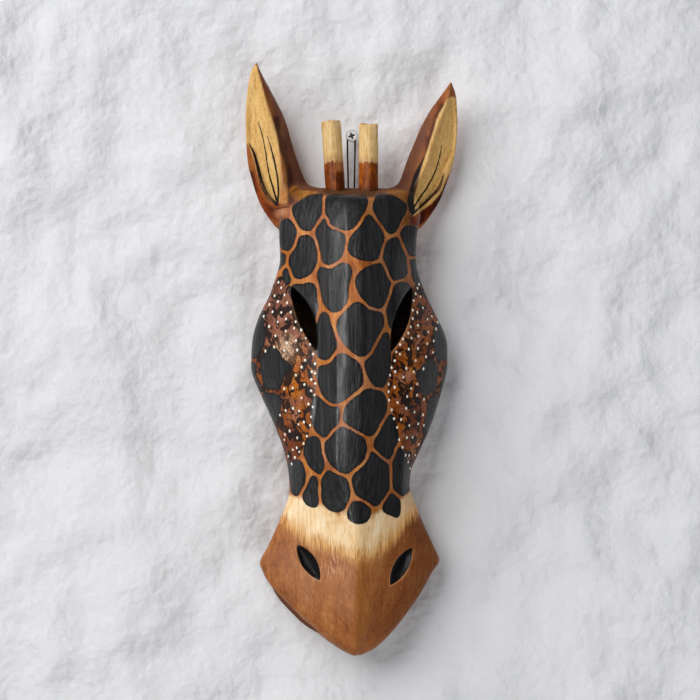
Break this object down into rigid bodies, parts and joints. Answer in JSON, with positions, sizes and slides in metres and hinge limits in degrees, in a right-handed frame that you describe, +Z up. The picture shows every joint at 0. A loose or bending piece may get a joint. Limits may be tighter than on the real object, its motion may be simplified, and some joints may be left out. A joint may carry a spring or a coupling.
{
  "type": "wall mask",
  "caption": "Hollow carved wooden giraffe mask for a wall, with upright ears, peg horns and slit eyes, hung by a cord loop over a screw.",
  "frame": {"origin": "on the wall plane, on the axis of the screw that carries the mask", "axes": "+Z up, +Y into the wall along the screw, the face looks along -Y"},
  "size_m": [0.1774, 0.126, 0.499],
  "materials": {
    "carved_wood": "stained, hand painted and varnished",
    "horn_wood": "whittled, stained at the foot",
    "cord": "black waxed twist",
    "screw": "zinc plated"
  },
  "bodies": {
    "wall_screw": {"hanging_screw": "screw"},
    "hanging_cord": {"cord_loop": "cord", "cord_knot": "cord"},
    "head": {"carved_head": "carved_wood", "left_horn": "horn_wood", "right_horn": "horn_wood"}
  },
  "joints": [
    {"name": "swing", "type": "hinge", "parent": "wall_screw", "child": "hanging_cord", "pos_m": [0, 0, 0], "axis": [0, 1, 0], "range_deg": [-15, 15]},
    {"name": "tilt", "type": "hinge", "parent": "hanging_cord", "child": "head", "pos_m": [0, -0.008, -0.052], "axis": [-1, 0, 0], "range_deg": [0, 10]}
  ]
}
